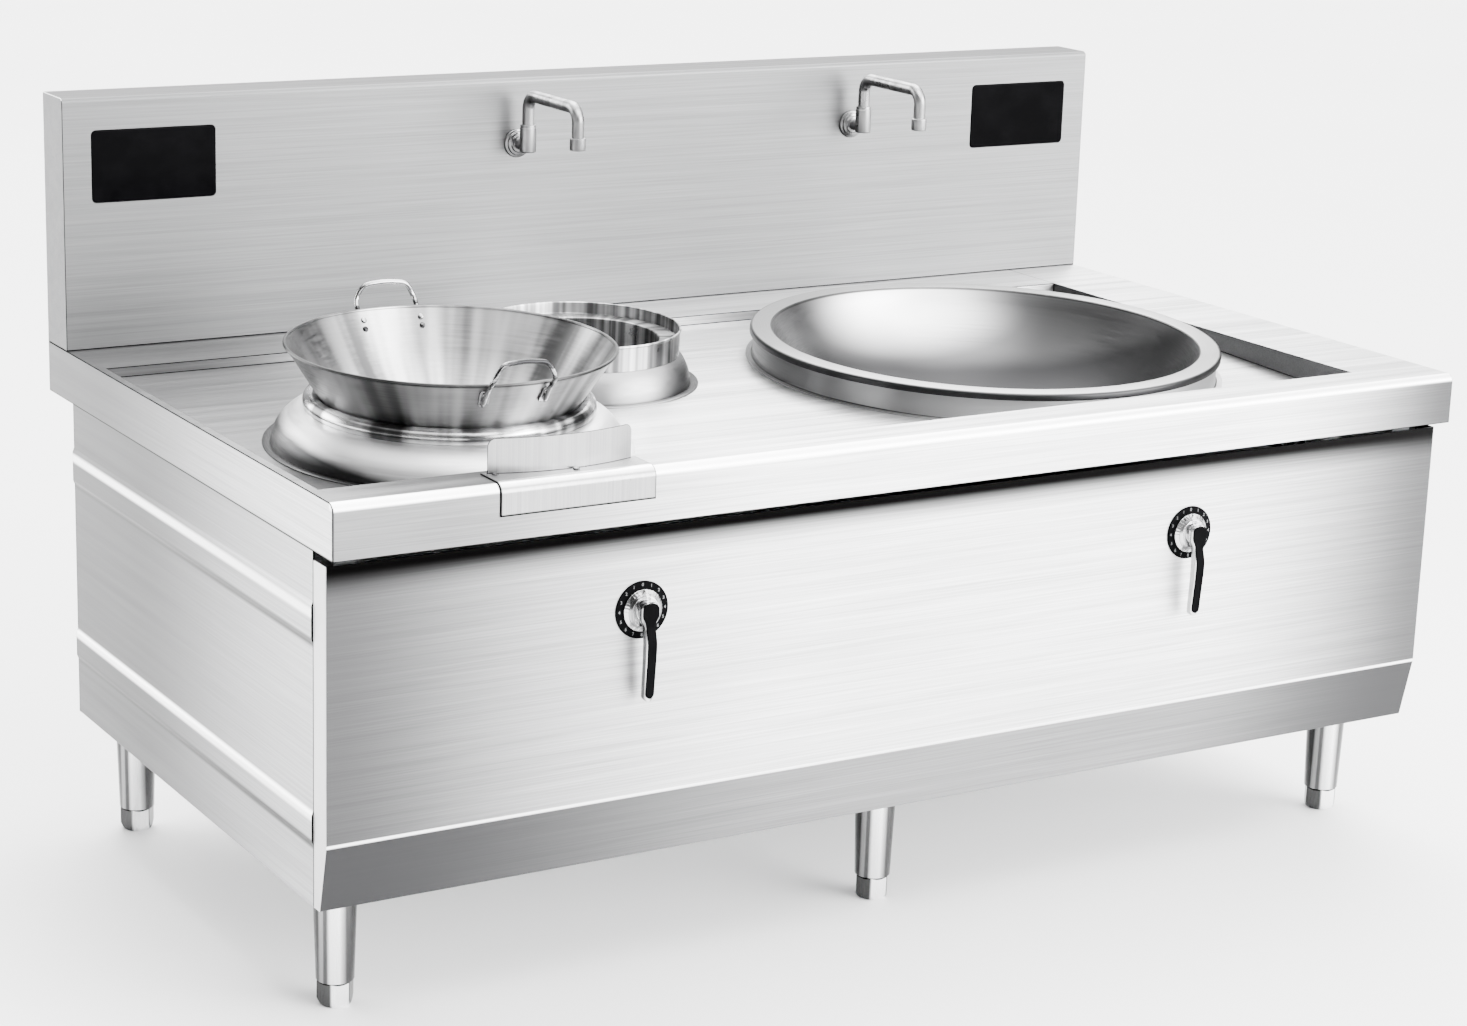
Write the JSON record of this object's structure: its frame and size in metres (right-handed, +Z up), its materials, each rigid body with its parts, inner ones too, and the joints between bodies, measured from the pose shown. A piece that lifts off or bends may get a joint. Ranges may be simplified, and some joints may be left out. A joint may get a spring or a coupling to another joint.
{
  "type": "commercial wok range",
  "caption": "Free-standing stainless wok range: cabinet on legs, sloping worktop with a loose wok on a domed seat, tail well, fixed wok, spouts and lever switches.",
  "frame": {"origin": "centre of the bounding box's footprint, on the floor under the feet", "axes": "+X to the right seen from the operator's side, +Y from the operator's side towards the backsplash, +Z up"},
  "size_m": [2, 1.126, 1.195],
  "materials": {
    "brushed_sheet": "stainless sheet with a straight brushed grain, bright where folded",
    "polished_steel": "polished stainless with turning marks",
    "wok_steel": "spun stainless with radial and ring grain",
    "chrome_fittings": "bright chrome-plated fittings",
    "frame_steel": "plain angle, mill finish",
    "glass_ceramic": "black glass-ceramic bowl",
    "display_glass": "black display glass with rounded corners",
    "black_plastic": "black moulded plastic",
    "housing_metal": "plain aluminium housings",
    "coil_winding": "copper-coloured induction winding"
  },
  "bodies": {
    "cabinet": {"back_left_leg": "polished_steel", "back_left_post": "frame_steel", "back_middle_leg": "polished_steel", "back_right_leg": "polished_steel", "back_right_post": "frame_steel", "backsplash_back_cover": "brushed_sheet", "backsplash_shell": "brushed_sheet", "base_frame": "frame_steel", "big_wok": "wok_steel", "big_wok_coil": "coil_winding", "big_wok_inverter": "housing_metal", "big_wok_skirt": "polished_steel", "cable_gland": "black_plastic", "ceramic_bowl": "glass_ceramic", "dome_collar": "polished_steel", "drain_strainer": "polished_steel", "floor_pan": "brushed_sheet", "front_left_leg": "polished_steel", "front_left_post": "frame_steel", "front_middle_leg": "polished_steel", "front_panel": "brushed_sheet", "front_right_leg": "polished_steel", "front_right_post": "frame_steel", "left_dial": "black_plastic", "left_display_board": "black_plastic", "left_display_glass": "display_glass", "left_faucet_body": "chrome_fittings", "left_power_switch": "black_plastic", "left_side_panel": "brushed_sheet", "rear_panel": "brushed_sheet", "rest_ring": "polished_steel", "right_dial": "black_plastic", "right_display_board": "black_plastic", "right_display_glass": "display_glass", "right_faucet_body": "chrome_fittings", "right_power_switch": "black_plastic", "right_side_panel": "brushed_sheet", "tail_dome": "polished_steel", "tail_ring": "polished_steel", "tail_well": "brushed_sheet", "top_frame": "frame_steel", "toss_guard": "brushed_sheet", "wok_coil": "coil_winding", "wok_inverter": "housing_metal", "worktop": "brushed_sheet"},
    "loose_wok": {"small_wok": "wok_steel", "wok_handle_front": "wok_steel", "wok_handle_back": "wok_steel"},
    "left_spout_body": {"left_spout": "chrome_fittings"},
    "right_spout_body": {"right_spout": "chrome_fittings"},
    "left_lever_body": {"left_lever": "chrome_fittings", "left_lever_grip": "black_plastic"},
    "right_lever_body": {"right_lever": "chrome_fittings", "right_lever_grip": "black_plastic"},
    "front_left_foot_body": {"front_left_foot": "polished_steel"},
    "front_middle_foot_body": {"front_middle_foot": "polished_steel"},
    "front_right_foot_body": {"front_right_foot": "polished_steel"},
    "back_left_foot_body": {"back_left_foot": "polished_steel"},
    "back_middle_foot_body": {"back_middle_foot": "polished_steel"},
    "back_right_foot_body": {"back_right_foot": "polished_steel"}
  },
  "joints": [
    {"name": "wok_lift", "type": "slide", "parent": "cabinet", "child": "loose_wok", "axis": [0, -0.0314, 0.9995], "range_m": [0, 0.3]},
    {"name": "left_spout_swivel", "type": "hinge", "parent": "cabinet", "child": "left_spout_body", "pos_m": [-0.1967, 0.435, 1.1114], "axis": [0, 0, 1], "range_deg": [-90, 90]},
    {"name": "right_spout_swivel", "type": "hinge", "parent": "cabinet", "child": "right_spout_body", "pos_m": [0.479, 0.435, 1.1114], "axis": [0, 0, 1], "range_deg": [-90, 90]},
    {"name": "left_lever_turn", "type": "hinge", "parent": "cabinet", "child": "left_lever_body", "pos_m": [-0.505, -0.5506, 0.5726], "axis": [0, -1, 0], "range_deg": [-157.5, 157.5]},
    {"name": "right_lever_turn", "type": "hinge", "parent": "cabinet", "child": "right_lever_body", "pos_m": [0.491, -0.5506, 0.5726], "axis": [0, -1, 0], "range_deg": [-157.5, 157.5]},
    {"name": "front_left_foot_screw", "type": "slide", "parent": "cabinet", "child": "front_left_foot_body", "axis": [0, 0, -1], "range_m": [0, 0.025]},
    {"name": "front_middle_foot_screw", "type": "slide", "parent": "cabinet", "child": "front_middle_foot_body", "axis": [0, 0, -1], "range_m": [0, 0.025]},
    {"name": "front_right_foot_screw", "type": "slide", "parent": "cabinet", "child": "front_right_foot_body", "axis": [0, 0, -1], "range_m": [0, 0.025]},
    {"name": "back_left_foot_screw", "type": "slide", "parent": "cabinet", "child": "back_left_foot_body", "axis": [0, 0, -1], "range_m": [0, 0.025]},
    {"name": "back_middle_foot_screw", "type": "slide", "parent": "cabinet", "child": "back_middle_foot_body", "axis": [0, 0, -1], "range_m": [0, 0.025]},
    {"name": "back_right_foot_screw", "type": "slide", "parent": "cabinet", "child": "back_right_foot_body", "axis": [0, 0, -1], "range_m": [0, 0.025]}
  ]
}
